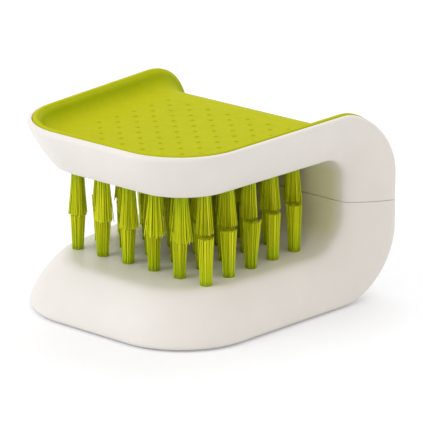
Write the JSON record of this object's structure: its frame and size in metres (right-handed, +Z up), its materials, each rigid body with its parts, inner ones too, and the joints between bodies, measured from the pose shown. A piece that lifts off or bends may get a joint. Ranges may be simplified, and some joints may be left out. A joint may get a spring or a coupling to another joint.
{
  "type": "cutlery brush",
  "caption": "C-shaped two-sided brush for knives and cutlery: facing fields of green nylon bristles in a white body with a soft green dished thumb grip on top.",
  "frame": {"origin": "on the table under the middle of the brush's length and width", "axes": "+X across the brush, +Y from the open mouth to the spine, +Z up from the resting face"},
  "size_m": [0.093, 0.092, 0.061],
  "materials": {
    "white_plastic": "satin moulded polypropylene, warm white",
    "green_rubber": "matt soft-touch rubber with small raised dots, lime green",
    "green_nylon": "nylon filaments, lime green",
    "steel": "plain stainless screw"
  },
  "bodies": {
    "root": {"upper_body": "white_plastic", "lower_body": "white_plastic", "base_cover": "white_plastic", "thumb_grip": "green_rubber", "spine_screw_left": "steel", "spine_screw_right": "steel", "lower_tuft_row_1": "green_nylon", "lower_tuft_row_2": "green_nylon", "lower_tuft_row_3": "green_nylon", "lower_tuft_row_4": "green_nylon", "lower_tuft_row_5": "green_nylon", "upper_tuft_row_1": "green_nylon", "upper_tuft_row_2": "green_nylon", "upper_tuft_row_3": "green_nylon", "upper_tuft_row_4": "green_nylon", "upper_tuft_row_5": "green_nylon", "upper_tuft_row_6": "green_nylon"}
  },
  "joints": []
}
